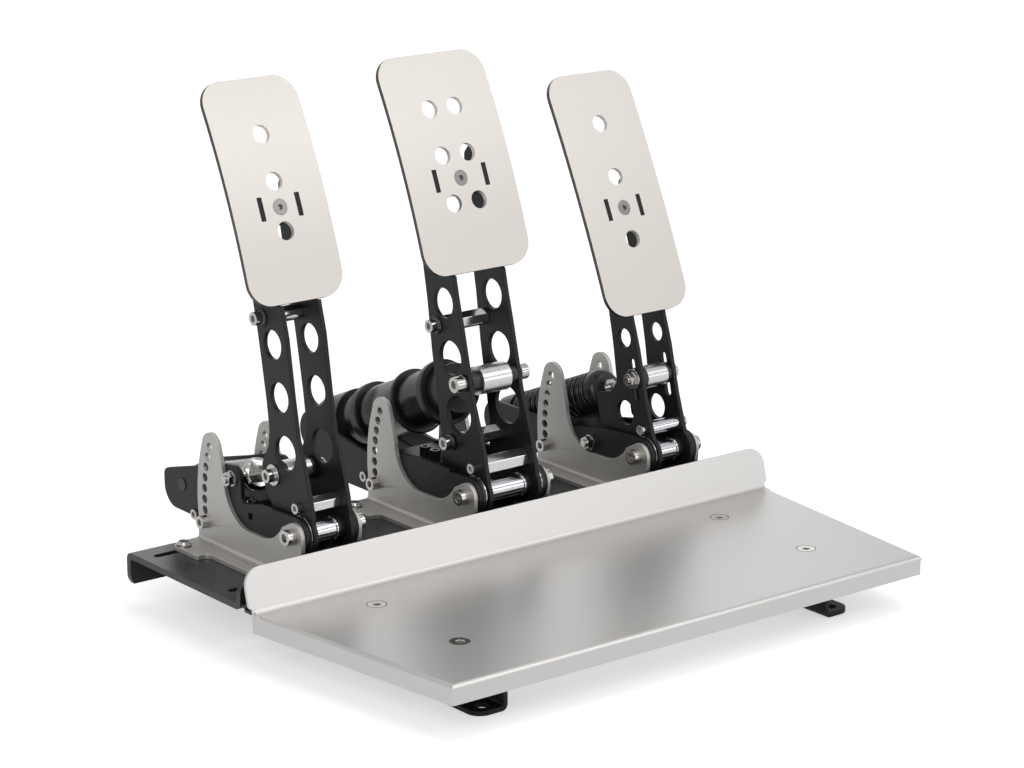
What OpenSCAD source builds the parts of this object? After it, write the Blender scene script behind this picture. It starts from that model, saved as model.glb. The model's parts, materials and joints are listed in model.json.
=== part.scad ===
// Sim racing pedal set: clutch, brake and throttle on a slotted base with a heel plate.
// Millimetres. X runs to the driver's right, Y away from the driver, Z up.
// The origin is on the floor, under the middle of the set.

/* [Base] */
// height of the two rails that everything stands on
rail_h = 33; // [20:1:50]
// sheet thickness of the rails
rail_t = 3; // [2:0.5:5]
// from the base plate's side edge to each rail's web
rail_inset = 77.5; // [60:0.5:90]
// width of the rails' flanges
rail_w = 22; // [16:1:30]
// front end of the rails
rail_front = -164; // [-184:1:-144]
// width of the base plate
base_w = 401; // [350:1:450]
// depth of the base plate
base_d = 125.5; // [110:0.5:160]
// front edge of the base plate
base_front = -10.5; // [-24:0.5:6]
// sheet thickness of the base plate
base_t = 4; // [3:0.5:6]

/* [Heel plate] */
// front width of the heel plate
heel_front_w = 360; // [300:1:420]
// front edge of the heel plate
heel_front = -188; // [-214:1:-164]
// rear bend of the heel plate
heel_rear = -23; // [-40:1:-19]
// height of the kick flange along its slope
kick_h = 28; // [15:1:40]
// how far the kick flange reaches past the tray at each side
kick_over = 2.3; // [0:0.1:4]
// angle by which the kick flange leans back
kick_lean = 15; // [0:1:30]

/* [Pedals] */
// from the base plate's left edge to the middle of the clutch pedal
clutch_inset = 67.5; // [60:0.5:90]
// middle of the brake pedal
brake_x = 3.5; // [-20:0.5:20]
// from the base plate's right edge to the middle of the throttle pedal
throttle_inset = 65.8; // [60:0.1:90]
// main pivots, distance from the origin
pivot_y = 1.5; // [-4:0.5:16]
// main pivots, height above the floor
pivot_z = 66.3; // [60:0.1:80]
// half the width over the brackets of the clutch and throttle
side_narrow = 22; // [20:0.5:30]
// half the width over the brackets of the brake
side_wide = 30; // [26:0.5:36]
// from a pedal's middle to the middle of a clutch or throttle lever plate
lever_narrow = 13.25; // [11:0.25:16]
// from the brake's middle to the middle of a lever plate
lever_wide = 19; // [16:0.25:22]
// sheet thickness of brackets, frames and levers
plate_t = 3; // [2:0.5:4]
// radius of the arc of angle holes in the ears
ear_r = 95; // [80:1:110]
// angle between two of the ear holes
ear_step = 4.27; // [3:0.01:6]

/* [Faces] */
// width of the clutch and throttle faces
face_narrow = 67; // [50:1:80]
// width of the brake face
face_wide = 81; // [60:1:100]
// thickness of the faces
face_t = 3; // [2:0.5:4]

/* [Hidden] */
fine = 64;
slit = 1.2;
rail_x = base_w / 2 - rail_inset;
clutch_x = clutch_inset - base_w / 2;
throttle_x = base_w / 2 - throttle_inset;
base_top = rail_h + base_t;
base_rear = base_front + base_d;
heel_rear_w = base_w;
heel_t = 2;
heel_top = rail_h + heel_t;
heel_drop = 12;
heel_fold = 2.5;
kick_fold = 3;
heel_screw_x = rail_x + rail_w / 2;
heel_screw_y = [heel_front + 54, heel_rear - 31];
flange_up = 15;
flange_down = 20.5;
slot_w = 5.5;
m6_hole = 6.4;
base_screw_y = [base_front + 41.5, base_rear - 34];
front_out = 8.8;
rear_out = 16.5;
rod_narrow = 3;
rod_wide = 4;
pin_r = 4;
slot_front = base_front + 24.5 - pivot_y;
slot_rear = base_rear - 19.5 - pivot_y;
slot_split = [(clutch_x + brake_x) / 2 - 1, (brake_x + throttle_x) / 2 + 1];
slot_web = [15, 9.7];
slot_out = 59.75;
floor_v = base_top - pivot_z;
ear_first = 21.3;
ear_last = ear_first - 7 * ear_step;
steel = [0.66, 0.65, 0.63];
pale = [0.89, 0.87, 0.85];
black = [0.14, 0.14, 0.15];
rubber = [0.07, 0.07, 0.07];
zinc = [0.80, 0.81, 0.82];

// places in a pedal's side view: u runs back from the main pivot, v runs up from it
clutch_pin = [29, 30];
brake_pin = [13.7, 67.5];
throttle_pin = [13, 47.1];
clutch_tail = [124.8, 1.5];
brake_tail = [168.6, 2.4];
throttle_tail = [152, -10.3];
clutch_lean = atan2(clutch_tail[1] - clutch_pin[1], clutch_tail[0] - clutch_pin[0]);
brake_lean = atan2(brake_tail[1] - brake_pin[1], brake_tail[0] - brake_pin[0]);
throttle_lean = atan2(throttle_tail[1] - throttle_pin[1], throttle_tail[0] - throttle_pin[0]);
clutch_line = norm(clutch_tail - clutch_pin);
brake_line = norm(brake_tail - brake_pin);
throttle_line = norm(throttle_tail - throttle_pin);
spacer_pin = [2, 16];
clutch_spacer = [39, 124.8];
brake_spacer = [41.1, 99];
brake_mid = [26.4, 27];
clutch_arm = [68, 19.2];
throttle_tie = [51, -3];
small_bolt = [107, -13];
ear_bolt = ear_r * [cos(ear_last), sin(ear_last)];
clutch_screw = [38.3, 189.7];
brake_screw = [41.9, 189.1];
throttle_screw = [41.3, 152.7];
clutch_slope = 22.4;
brake_slope = 22.7;
throttle_slope = 24.9;
clutch_bow = 550;
brake_bow = 628;
throttle_bow = 1200;
clutch_low = -56.7;
brake_low = -58;
throttle_low = -69.2;
clutch_block = clutch_screw + 10.5 * [cos(clutch_slope), -sin(clutch_slope)];
brake_block = brake_screw + 10.5 * [cos(brake_slope), -sin(brake_slope)];
throttle_block = throttle_screw + 10.5 * [cos(throttle_slope), -sin(throttle_slope)];
clutch_web = [84, -5, [75]];
brake_web = [104, 1, [70.4, 81]];
throttle_web = [84, 1, []];
brake_rim = 21;
brake_barrel = 18;
brake_stack = [52, 79.5, 83, 124, 131, 143.8];
axle_r = 5;
bush_r = 6.15;
collar_r = 6.9;
collar_w = 4.6;
trunnion_half = 8.4;
function lever_inside(mid) = mid - plate_t / 2 - 0.1;

// Helpers: solids along X, in a pedal's side view, and along a push rod.
module at_pivot(x) translate([x, pivot_y, pivot_z]) children();
module side(x0, t) translate([x0, 0, 0]) rotate([90, 0, 90]) linear_extrude(t) children();
module xrod(p, r, x0, x1, n = fine)
    translate([x0, p[0], p[1]]) rotate([0, 90, 0]) cylinder(r = r, h = x1 - x0, $fn = n);
module along(pin, lean) translate([0, pin[0], pin[1]]) rotate([lean, 0, 0]) children();
module drod(r, d0, d1, n = fine)
    translate([0, d0, 0]) rotate([-90, 0, 0]) cylinder(r = r, h = d1 - d0, $fn = n);
module dcone(r0, r1, d0, d1)
    translate([0, d0, 0]) rotate([-90, 0, 0]) cylinder(r1 = r0, r2 = r1, h = d1 - d0, $fn = fine);
module dot(p, r) translate(p) circle(r = r, $fn = fine);
module both() { children(); mirror([1, 0, 0]) children(); }
function arc(c, r, a0, a1, n) = [for (i = [0:n]) c + r * [cos(a0 + (a1 - a0) * i / n),
    sin(a0 + (a1 - a0) * i / n)]];
module box2(a, b) translate(a) square(b - a);
module rounded(a, b, r) translate(a + [r, r]) offset(r = r, $fn = 32) square(b - a - 2 * [r, r]);

// A socket cap screw along X: its head starts at x0 and the shank runs towards the middle.
module cap_screw(p, m, x0, length) difference() {
    union() {
        xrod(p, 0.83 * m, x0, x0 + m);
        xrod(p, m / 2, x0 - length, x0 + 0.1);
    }
    xrod(p, 0.46 * m, x0 + m * 0.5, x0 + m + 1, 6);
}
module hex_nut(p, across, bore, x0, x1) difference() {
    xrod(p, across / sqrt(3), x0, x1, 6);
    xrod(p, bore / 2, x0 - 1, x1 + 1);
}

// Rails
module rail() difference() {
    rotate([-90, 0, 0]) translate([0, 0, rail_front]) mirror([0, 1, 0])
        linear_extrude(base_rear - 9 - rail_front) difference() {
            rounded([rail_x, 0], [rail_x + 2 * rail_w, rail_h], 4);
            rounded([rail_x + rail_t, rail_t], [rail_x + 3 * rail_w, rail_h - rail_t], 1.5);
            box2([rail_x + rail_w, -1], [rail_x + 3 * rail_w, rail_h + 1]);
        }
    for (y = heel_screw_y) translate([heel_screw_x, y, 10]) cylinder(d = 8.4, h = 40, $fn = fine);
    for (y = base_screw_y) translate([heel_screw_x, y, 10]) cylinder(d = m6_hole, h = 40, $fn = fine);
    for (y = [rail_front + 9, base_rear - 24])
        translate([heel_screw_x + 0.5, y, -1]) cylinder(d = 8.5, h = 6, $fn = fine);
    translate([rail_x + rail_w - 9, rail_front - 1, -1]) difference() {
        cube([10, 10, rail_t + 2]);
        translate([0, 10, -1]) cylinder(r = 9, h = 9, $fn = fine);
    }
}
module rail_left() color(black) mirror([1, 0, 0]) rail();
module rail_right() color(black) rail();

// Base plate: slotted sheet, front flange turned up and rear flange turned down
module base_profile() {
    intersection() {
        difference() {
            rounded([base_front, rail_h], [base_rear + 40, base_top + 90], 5);
            rounded([base_front + base_t, base_top], [base_rear + 60, base_top + 110], 2);
        }
        box2([base_front, rail_h], [base_rear - 40, base_top + flange_up]);
    }
    intersection() {
        difference() {
            rounded([base_front - 40, -60], [base_rear, base_top], 5);
            rounded([base_front - 60, -80], [base_rear - base_t, rail_h], 2);
        }
        box2([base_front + 40, base_top - flange_down], [base_rear, base_top]);
    }
}
module base_plate() color(black) difference() {
    intersection() {
        translate([-base_w / 2, 0, 0]) rotate([90, 0, 90]) linear_extrude(base_w) base_profile();
        translate([0, base_front - 1, 0]) rotate([90, 0, 0]) mirror([0, 0, 1]) linear_extrude(base_d + 2)
            union() {
                rounded([-base_w / 2, rail_h - 20], [base_w / 2, base_top + flange_up], 10);
                rounded([-base_w / 2, base_top - flange_down], [base_w / 2, base_top], 8);
            }
    }
    for (u = [slot_front, slot_rear]) {
        long_slot(clutch_x - slot_out, slot_split[0] - slot_web[0] / 2, u);
        long_slot(slot_split[0] + slot_web[0] / 2, slot_split[1] - slot_web[1] / 2, u);
        long_slot(slot_split[1] + slot_web[1] / 2, throttle_x + slot_out, u);
    }
    for (s = [-1, 1], y = base_screw_y) translate([s * heel_screw_x, y, 0]) {
        translate([0, 0, rail_h - 1]) cylinder(d = m6_hole, h = 20, $fn = fine);
        translate([0, 0, base_top - 3.2]) cylinder(d1 = 6, d2 = 12.4, h = 3.21, $fn = fine);
    }
}
module long_slot(x0, x1, u) translate([0, pivot_y + u, rail_h - 1]) linear_extrude(base_t + 2)
    union() {
        box2([x0 + slot_w / 2, -slot_w / 2], [x1 - slot_w / 2, slot_w / 2]);
        for (x = [x0 + slot_w / 2, x1 - slot_w / 2]) translate([x, 0]) circle(d = slot_w, $fn = fine);
    }

// Heel plate: a tapered stainless tray with a kick flange at its rear
module heel_outline(inset, rear) polygon([
    [-heel_front_w / 2 + inset, heel_front + inset], [heel_front_w / 2 - inset, heel_front + inset],
    [heel_rear_w / 2 - inset, rear], [-heel_rear_w / 2 + inset, rear]]);
module heel_plate() color(pale) difference() {
    union() {
        translate([0, 0, rail_h]) linear_extrude(heel_t) heel_outline(0, heel_rear);
        translate([0, 0, heel_top - heel_drop]) linear_extrude(heel_drop) difference() {
            heel_outline(0, heel_rear);
            heel_outline(heel_t, heel_rear + 5);
        }
        intersection() {
            translate([0, heel_rear - heel_t, rail_h]) rotate([90 - kick_lean, 0, 0])
                translate([0, 0, -heel_t]) linear_extrude(heel_t) kick_outline(heel_rear_w / 2);
            translate([-base_w, heel_rear - 20, rail_h]) cube([2 * base_w, 60, 2 * kick_h]);
        }
        translate([1 - heel_rear_w / 2, heel_rear - heel_t + heel_t * tan(kick_lean), heel_top])
            rotate([90, 0, 90]) linear_extrude(heel_rear_w - 2) kick_fillet();
    }
    edge_cut([-heel_front_w, heel_front], [heel_front_w, heel_front], 0);
    both() edge_cut([heel_front_w / 2, heel_front], [heel_rear_w / 2, heel_rear], 7);
    for (s = [-1, 1]) translate([s * heel_front_w / 2, heel_front, heel_top - heel_drop - 1])
        rotate([0, 0, s * 42]) translate([-6, -slit / 2, 0]) cube([12, slit, heel_drop - heel_t]);
    for (s = [-1, 1], y = heel_screw_y) translate([s * heel_screw_x, y, rail_h - 0.01])
        cylinder(d1 = 8, d2 = 12.04, h = heel_t + 0.02, $fn = fine);
}

module kick_outline(half) {
    box2([-half, -16], [half, 8]);
    intersection() {
        rounded([-half - kick_over, -16], [half + kick_over, kick_h + 1], 11.5);
        rounded([-half - kick_over, 4.5], [half + kick_over, 2 * kick_h], 3);
    }
}
module kick_fillet() {
    reach = kick_fold * tan(45 - kick_lean / 2);
    polygon(concat([[-reach - 0.4, -0.5], [0.5, -0.5], reach * [sin(kick_lean), cos(kick_lean)] + [0.5, 0.1]],
        arc([-reach, kick_fold], kick_fold - 0.04, -kick_lean + 1, -91, 6)));
}
module edge_cut(a, b, stop) translate([a[0], a[1], heel_top]) rotate([0, 0, atan2(b[1] - a[1], b[0] - a[0])])
    translate([-5, 0, 0]) rotate([90, 0, 90]) linear_extrude(norm(b - a) + 5 - stop)
        polygon(concat([[-1, -heel_fold], [-1, 1], [heel_fold, 1]],
            arc([heel_fold, -heel_fold], heel_fold + 0.04, 90, 180, 6)));

// Strip that closes the gap between heel plate and base plate
module gap_strip() color(black) translate([-base_w / 2 + 1, 0, rail_h])
    linear_extrude(2) rounded([0, heel_rear + 2.5], [base_w - 2, base_front - 2], 1);

// Four countersunk screws through the heel plate and four through the base plate, with nuts
module heel_screws() color(zinc) {
    for (s = [-1, 1], y = heel_screw_y) translate([s * heel_screw_x, y, 0])
        countersunk(heel_top, 12, 22);
    for (s = [-1, 1], y = base_screw_y) translate([s * heel_screw_x, y, 0]) countersunk(base_top, 12, 22);
}
module countersunk(top, head, tip) {
    difference() {
        union() {
            translate([0, 0, top - head / 4]) cylinder(d1 = head / 2, d2 = head, h = head / 4, $fn = fine);
            translate([0, 0, tip]) cylinder(d = head / 2, h = top - tip - 1, $fn = fine);
        }
        translate([0, 0, top - 2]) cylinder(d = head / 2.4, h = 3, $fn = 6);
    }
    translate([0, 0, rail_h - rail_t - 5]) difference() {
        cylinder(r = 10 / sqrt(3), h = 5, $fn = 6);
        translate([0, 0, -1]) cylinder(d = head / 2 + 0.1, h = 7, $fn = fine);
    }
}

// Bracket: folded stainless side with a row of angle holes in its tall ear
module bracket_outline() polygon(concat(
    [[-5.8, floor_v], [slot_rear + 8.5, floor_v], [slot_rear + 8.5, -10]],
    arc([0, 0], ear_r + 8, -5, 19, 12), arc([87.5, 34.5], 9.2, 24, 165, 14),
    arc([47, 17], 26, 0, -90, 16), arc([33, 17], 26, -90, -148, 12),
    arc([-1, -0.2], 8.6, 56, 180, 16), [[-9, -8], [-7.4, -13.5], [-6, -18]]));
module bracket_plan() {
    box2([0, -20], [plate_t, 120]);
    polygon(concat([[0, -4], [16.5, -4], [16.5, slot_rear - 26.5]],
        arc([20.5, slot_rear - 26.5], 4, 180, 90, 5), [[22.5, slot_rear - 22.5]],
        arc([22.5, slot_rear - 20.5], 2, -90, 0, 3), arc([15.5, slot_rear], 9, 0, 90, 8),
        [[0, slot_rear + 9]]));
}
module bracket(half) difference() {
    intersection() {
        side(half - plate_t, 40) union() {
            bracket_outline();
            box2([-5.8, floor_v], [slot_rear + 7, floor_v + plate_t]);
        }
        translate([half - plate_t, -20, 0]) rotate([90, 0, 0]) mirror([0, 0, 1]) linear_extrude(140)
            difference() {
                rounded([0, floor_v], [60, floor_v + 90], 4.5);
                rounded([plate_t, floor_v + plate_t], [80, floor_v + 120], 2);
            }
        translate([half - plate_t, 0, floor_v - 1]) linear_extrude(100) bracket_plan();
    }
    xrod([0, 0], m6_hole / 2, 0, 60);
    for (k = [0:7]) xrod(ear_r * [cos(ear_first - k * ear_step), sin(ear_first - k * ear_step)], 2.6, 0, 60);
    translate([half + front_out, slot_front, floor_v - 1]) cylinder(d = 5.5, h = 5, $fn = fine);
    translate([half + rear_out, slot_rear, floor_v - 1]) linear_extrude(5) union() {
        translate([0, -3]) circle(d = 5.6, $fn = fine);
        translate([0, 1.5]) circle(d = 5.6, $fn = fine);
        translate([-2.8, -3]) square([5.6, 4.5]);
    }
}
module clutch_bracket_left() color(steel) at_pivot(clutch_x) mirror([1, 0, 0]) bracket(side_narrow);
module clutch_bracket_right() color(steel) at_pivot(clutch_x) bracket(side_narrow);
module brake_bracket_left() color(steel) at_pivot(brake_x) mirror([1, 0, 0]) bracket(side_wide);
module brake_bracket_right() color(steel) at_pivot(brake_x) bracket(side_wide);
module throttle_bracket_left() color(steel) at_pivot(throttle_x) mirror([1, 0, 0]) bracket(side_narrow);
module throttle_bracket_right() color(steel) at_pivot(throttle_x) bracket(side_narrow);

// Screws, washers and nuts that hold the brackets in the base plate's slots
module bracket_screws() color(zinc) {
    for (x = [clutch_x, throttle_x]) at_pivot(x) both() slot_screws(side_narrow);
    at_pivot(brake_x) both() slot_screws(side_wide);
}
module slot_screws(half) {
    translate([half + front_out, slot_front, 0]) slot_screw(8.4);
    translate([half + rear_out, slot_rear, 0]) slot_screw(9.5);
}
module slot_screw(head) {
    translate([0, 0, floor_v + plate_t]) difference() {
        union() {
            cylinder(d = head, h = 1.4, $fn = fine);
            translate([0, 0, 1.4]) cylinder(d1 = head, d2 = head - 3.4, h = 1.4, $fn = fine);
            translate([0, 0, -14]) cylinder(d = 5, h = 14.2, $fn = fine);
        }
        translate([0, 0, 1.2]) cylinder(d = 3.4, h = 3, $fn = 6);
    }
    translate([0, 0, floor_v - base_t - 4]) difference() {
        cylinder(r = 8 / sqrt(3), h = 4, $fn = 6);
        translate([0, 0, -1]) cylinder(d = 5.1, h = 6, $fn = fine);
    }
}

// Main axles, clamped between the frame plates, and their screws
module axle(half) difference() {
    xrod([0, 0], 5, -half + 2 * plate_t, half - 2 * plate_t);
    grip = half - 2 * plate_t - 12;
    for (s = [-1, 1]) xrod([0, 0], 3.05, s > 0 ? grip : -half, s > 0 ? half : -grip);
}
module pivot_axles() color(zinc) {
    for (x = [clutch_x, throttle_x]) at_pivot(x) axle(side_narrow);
    at_pivot(brake_x) axle(side_wide);
}
module pivot_bolts() color(zinc) {
    for (x = [clutch_x, throttle_x]) at_pivot(x) both() cap_screw([0, 0], 6, side_narrow, 16);
    at_pivot(brake_x) both() cap_screw([0, 0], 6, side_wide, 16);
}

// Frames: black folded carriers that hold the springs and set the pedal's angle
module frame_front() {
    dot([0, 0], 10.9);
    polygon([[0, 10.9], [16, 10.4], [41, 8.9], [62, 5], [75, 1.8], [98, 1.2], [98, -22], [40, -22],
        [4, -10.7]]);
}
module clutch_frame_outline() {
    frame_front();
    polygon(concat([[30, 9.2], [36, 8.6]], arc([53.8, 10], 5, -100, 0, 5), arc([66.8, 19.6], 8, 180, 78, 6),
        [[79, 26], [106, 18]], arc([141, 3.4], 5, 72, 0, 4), arc([132, -2], 14, -10, -80, 6),
        [[117, -16], [98, -21], [60, -22]]));
}
module brake_frame_outline() {
    frame_front();
    polygon(concat([[20, 12], [50, 12.4], [68, 10], [96, 3], [108, 2.4], [150, 8]],
        arc([169, 2.4], 14, 75, -60, 8), [[150, -22], [129, -23.4], [108, -23.6], [40, -22], [20, -10]]));
}
module throttle_frame_outline() {
    frame_front();
    polygon(concat([[75, 1.8], [108, 2.4], [140, 2.6]], arc([152, -10.3], 13, 80, -70, 8),
        [[129, -23.4], [108, -23.6], [60, -22]]));
}
module frame(half, tail, web, holes) {
    both() side(half - 2 * plate_t, plate_t) difference() {
        children();
        dot([0, 0], m6_hole / 2);
        dot(ear_bolt, 2.6);
        dot(tail, pin_r + 0.05);
        for (p = holes) dot(p, p == small_bolt ? 2.1 : 2.6);
    }
    difference() {
        side(-half + 2 * plate_t - 0.5, 2 * half - 4 * plate_t + 1)
            box2([63, web[1] - plate_t], [web[0], web[1]]);
        for (u = web[2]) translate([0, u, -30]) cylinder(r = 2.1, h = 60, $fn = fine);
    }
}
module clutch_frame() color(black) at_pivot(clutch_x)
    frame(side_narrow, clutch_tail, clutch_web, [clutch_arm, small_bolt]) difference() {
        clutch_frame_outline();
        box2([47, -2.4], [51, 1.6]);
    }
module brake_frame() color(black) at_pivot(brake_x)
    frame(side_wide, brake_tail, brake_web, [small_bolt]) brake_frame_outline();
module throttle_frame() color(black) at_pivot(throttle_x)
    frame(side_narrow, throttle_tail, throttle_web, [throttle_tie]) throttle_frame_outline();

// Screws on the frames: ear screws with nuts, small screws, stop rings and the throttle's tie
module frame_bolts() color(zinc) {
    for (x = [clutch_x, throttle_x]) at_pivot(x) both() ear_set(side_narrow);
    at_pivot(brake_x) both() ear_set(side_wide);
    at_pivot(clutch_x) both() small_set(side_narrow);
    at_pivot(brake_x) both() small_set(side_wide);
    at_pivot(clutch_x) both() {
        xrod(clutch_arm, 2.5, side_narrow - 2 * plate_t - 3, side_narrow - plate_t + 6.5);
        xrod(clutch_arm, 5, side_narrow - 2 * plate_t - 4.5, side_narrow - 2 * plate_t - 0.1);
        washer_nut(clutch_arm);
    }
    at_pivot(clutch_x) for (u = clutch_web[2]) cross_screw(u, clutch_web[1], 3.2, 5);
    at_pivot(brake_x) for (u = brake_web[2]) cross_screw(u, brake_web[1], 3.6, 7);
    at_pivot(throttle_x) {
        xrod(throttle_tie, 2.5, -side_narrow + plate_t - 6.5, side_narrow - plate_t + 6.5);
        both() washer_nut(throttle_tie);
    }
}
module washer_nut(p) {
    ring(p, 5, 2.6, side_narrow - plate_t, side_narrow - plate_t + 1);
    hex_nut(p, 8, 5.1, side_narrow - plate_t + 1.05, side_narrow - plate_t + 5);
}
module ring(p, r, bore, x0, x1) difference() {
    xrod(p, r, x0, x1);
    xrod(p, bore, x0 - 1, x1 + 1);
}
module ear_set(half) {
    cap_screw(ear_bolt, 5, half, 11);
    hex_nut(ear_bolt, 8, 5.1, half - 2 * plate_t - 4.1, half - 2 * plate_t - 0.1);
}
module small_set(half) {
    cap_screw(small_bolt, 4, half - plate_t, 7);
    hex_nut(small_bolt, 7, 4.1, half - 2 * plate_t - 3.1, half - 2 * plate_t - 0.1);
}
module cross_screw(u, top, r, h) translate([0, u, top]) {
    difference() {
        union() {
            translate([0, 0, -plate_t - 5]) cylinder(r = 2, h = plate_t + 5.2, $fn = fine);
            cylinder(r = r, h = h, $fn = fine);
        }
        translate([0, 0, h - 2.4]) cylinder(r = r * 0.55, h = 10, $fn = 6);
    }
    translate([0, 0, -plate_t - 3.3]) difference() {
        cylinder(r = 4, h = 3.2, $fn = 6);
        translate([0, 0, -1]) cylinder(r = 2.05, h = 6, $fn = fine);
    }
}

// Hall sensor boxes, held between the frame plates under the levers
module sensor(half, mid) difference() {
    union() {
        side(-half + 2 * plate_t + 0.1, 2 * half - 4 * plate_t - 0.2) rounded([20, -21], [47, -14], 2);
        side(0.6 - lever_inside(mid), 2 * lever_inside(mid) - 1.2) rounded([20, -21], [47, -8.5], 2);
    }
    translate([-6, 15, -18]) cube([12, 12, 7]);
}
module clutch_sensor() color(black) at_pivot(clutch_x) sensor(side_narrow, lever_narrow);
module brake_sensor() color(black) at_pivot(brake_x) sensor(side_wide, lever_wide);
module throttle_sensor() color(black) at_pivot(throttle_x) sensor(side_narrow, lever_narrow);

// Lever plates: pairs of drilled sheets that carry the faces
module face_cut(screw, slope, radius, low) translate(screw) rotate(-slope) difference() {
    box2([-60, low], [12, 100]);
    translate([radius, 0]) circle(r = radius - face_t - 0.05, $fn = 360);
}
module lever(mid, screw, slope, radius, low, holes, screws) difference() {
    side(mid - plate_t / 2, plate_t) {
        difference() {
            offset(r = 3, $fn = 32) offset(delta = -3) union() {
                children();
                dot([0, 0], 13);
            }
            face_cut(screw, slope, radius, low - 0.6);
        }
        translate(screw) rotate(-slope) box2([0.4, -6.6], [8, 7]);
    }
    xrod([0, 0], bush_r + 0.05, 0, 50);
    for (h = holes) xrod([h[0], h[1]], h[2] / 2, 0, 50);
    for (p = screws) xrod(p, p == brake_pin ? 3.1 : 2.6, 0, 50);
    xrod(spacer_pin, 2.1, 0, 50);
}
module clutch_lever() lever(lever_narrow, clutch_screw, clutch_slope, clutch_bow, clutch_low,
    [[27.9, 110.3, 18], [21.7, 79.2, 18.5], [16.5, 46.2, 21]],
    [clutch_pin, clutch_spacer, clutch_block])
    polygon([[-10.5, 11.6], [-7.8, 23.3], [-2.6, 40.5], [3.6, 57.5], [8, 81], [13.6, 116.3],
        [19.2, 136.3], [26, 162], [38, 208], [50, 209], [58, 200], [57, 175], [47.2, 130.8],
        [43.6, 116.2], [40, 98.6], [35.5, 74.9], [33, 56.9], [34.4, 47.2], [37.9, 40.2],
        [41.3, 35], [41.6, 26.8], [37.6, 18.3], [28, 6], [9, -9.4], [-10, -8]]);
module brake_lever() lever(lever_wide, brake_screw, brake_slope, brake_bow, brake_low,
    [[33.8, 114.5, 19], [26.9, 80.9, 21.5], [18.5, 46.2, 24]],
    [brake_pin, brake_spacer, brake_mid, brake_block])
    polygon([[-11.1, 5], [-7.1, 23.3], [-1.2, 41.1], [5.3, 58.8], [11.2, 82.9], [15.6, 101],
        [20.5, 119], [24, 134], [30, 162], [42, 208], [54, 209], [62, 200], [62, 175],
        [56.1, 143.8], [50.2, 113.1], [45.9, 82], [44.5, 74.6], [40.1, 51.1], [36.6, 32.4],
        [36.7, 22.7], [36.8, 12.9], [28, 2], [9, -9.4], [-10, -8]]);
module throttle_lever() difference() {
    lever(lever_narrow, throttle_screw, throttle_slope, throttle_bow, throttle_low,
        [[22.9, 72.3, 12.3], [21.2, 23, 16]], [throttle_block])
        polygon([[-8.8, 4.8], [-4.2, 17], [2, 35.6], [5.2, 48.2], [10, 67.1], [16.7, 87], [24, 120],
            [44, 172], [55, 173], [62, 165], [58, 145], [40.2, 94.1], [35.9, 75], [33.3, 62.2],
            [30.2, 42.7], [33, 37.5], [36.5, 34], [50, 30.6], [50.6, 28.5], [48.6, 22],
            [46.3, 12.2], [34, 2], [9, -9.4], [-10, -8]]);
    translate([0, 12.6, 46.2]) rotate([-13.2, 0, 0]) rotate([90, 0, 90]) linear_extrude(50) union() {
        square([5.4, 23.6], center = true);
        for (s = [-1, 1]) translate([0, s * 11.8]) circle(d = 5.4, $fn = fine);
    }
}
module clutch_lever_left() color(black) at_pivot(clutch_x) mirror([1, 0, 0]) clutch_lever();
module clutch_lever_right() color(black) at_pivot(clutch_x) clutch_lever();
module brake_lever_left() color(black) at_pivot(brake_x) mirror([1, 0, 0]) brake_lever();
module brake_lever_right() color(black) at_pivot(brake_x) brake_lever();
module throttle_lever_left() color(black) at_pivot(throttle_x) mirror([1, 0, 0]) throttle_lever();
module throttle_lever_right() color(black) at_pivot(throttle_x) throttle_lever();

// Flanged bushes that carry the levers on their axles, and the brake trunnion's collars
module bushes(half, mid) both() difference() {
    union() {
        xrod([0, 0], bush_r, mid - plate_t / 2 + 0.1, half - 2 * plate_t - 0.1);
        xrod([0, 0], 11.2, mid + plate_t / 2 + 0.1, half - 2 * plate_t - 0.1);
    }
    xrod([0, 0], axle_r + 0.05, 0, 50);
}
module collar(mid) ring([0, 0], collar_r, axle_r + 0.05, lever_inside(mid) - collar_w, lever_inside(mid));
module clutch_bushes() color(black) at_pivot(clutch_x) {
    bushes(side_narrow, lever_narrow);
    collar(lever_narrow);
    both() ring(clutch_pin, 7.2, 2.6, trunnion_half + 0.1, lever_inside(lever_narrow));
}
module throttle_bushes() color(black) at_pivot(throttle_x) {
    bushes(side_narrow, lever_narrow);
    collar(lever_narrow);
    both() ring(throttle_pin, 7.2, 2.6, trunnion_half + 0.1, lever_inside(lever_narrow));
}
module brake_bushes() color(black) at_pivot(brake_x) {
    bushes(side_wide, lever_wide);
    collar(lever_wide);
    both() ring(brake_pin, 6.5, 3.1, 11, lever_inside(lever_wide));
}

// Tubes and spacers between the lever plates
module axle_tube(mid, r) {
    ring([0, 0], r, axle_r + 0.2, -lever_inside(mid), lever_inside(mid) - collar_w - 1.3);
    inner = lever_inside(mid) - collar_w;
    ring([0, 0], r + 0.9, axle_r + 0.2, inner - 1.2, inner - 0.1);
}
module tube(p, r, bore, inside, n = fine) difference() {
    xrod(p, r, -inside, inside, n);
    xrod(p, bore, -50, 50);
}
module clutch_spacers() color(zinc) at_pivot(clutch_x) {
    axle_tube(lever_narrow, 6.3);
    tube(spacer_pin, 5.2, 2.1, lever_inside(lever_narrow), 6);
    tube(clutch_spacer, 5, 2.6, lever_inside(lever_narrow));
}
module brake_spacers() color(zinc) at_pivot(brake_x) {
    axle_tube(lever_wide, 6.5);
    tube(spacer_pin, 6.4, 2.1, lever_inside(lever_wide), 6);
    tube(brake_mid, 5.6, 2.6, lever_inside(lever_wide), 6);
    tube(brake_spacer, 5.6, 2.6, lever_inside(lever_wide), 6);
}
module throttle_spacers() color(zinc) at_pivot(throttle_x) {
    axle_tube(lever_narrow, 6.3);
    tube(spacer_pin, 4.6, 2.1, lever_inside(lever_narrow));
}

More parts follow.
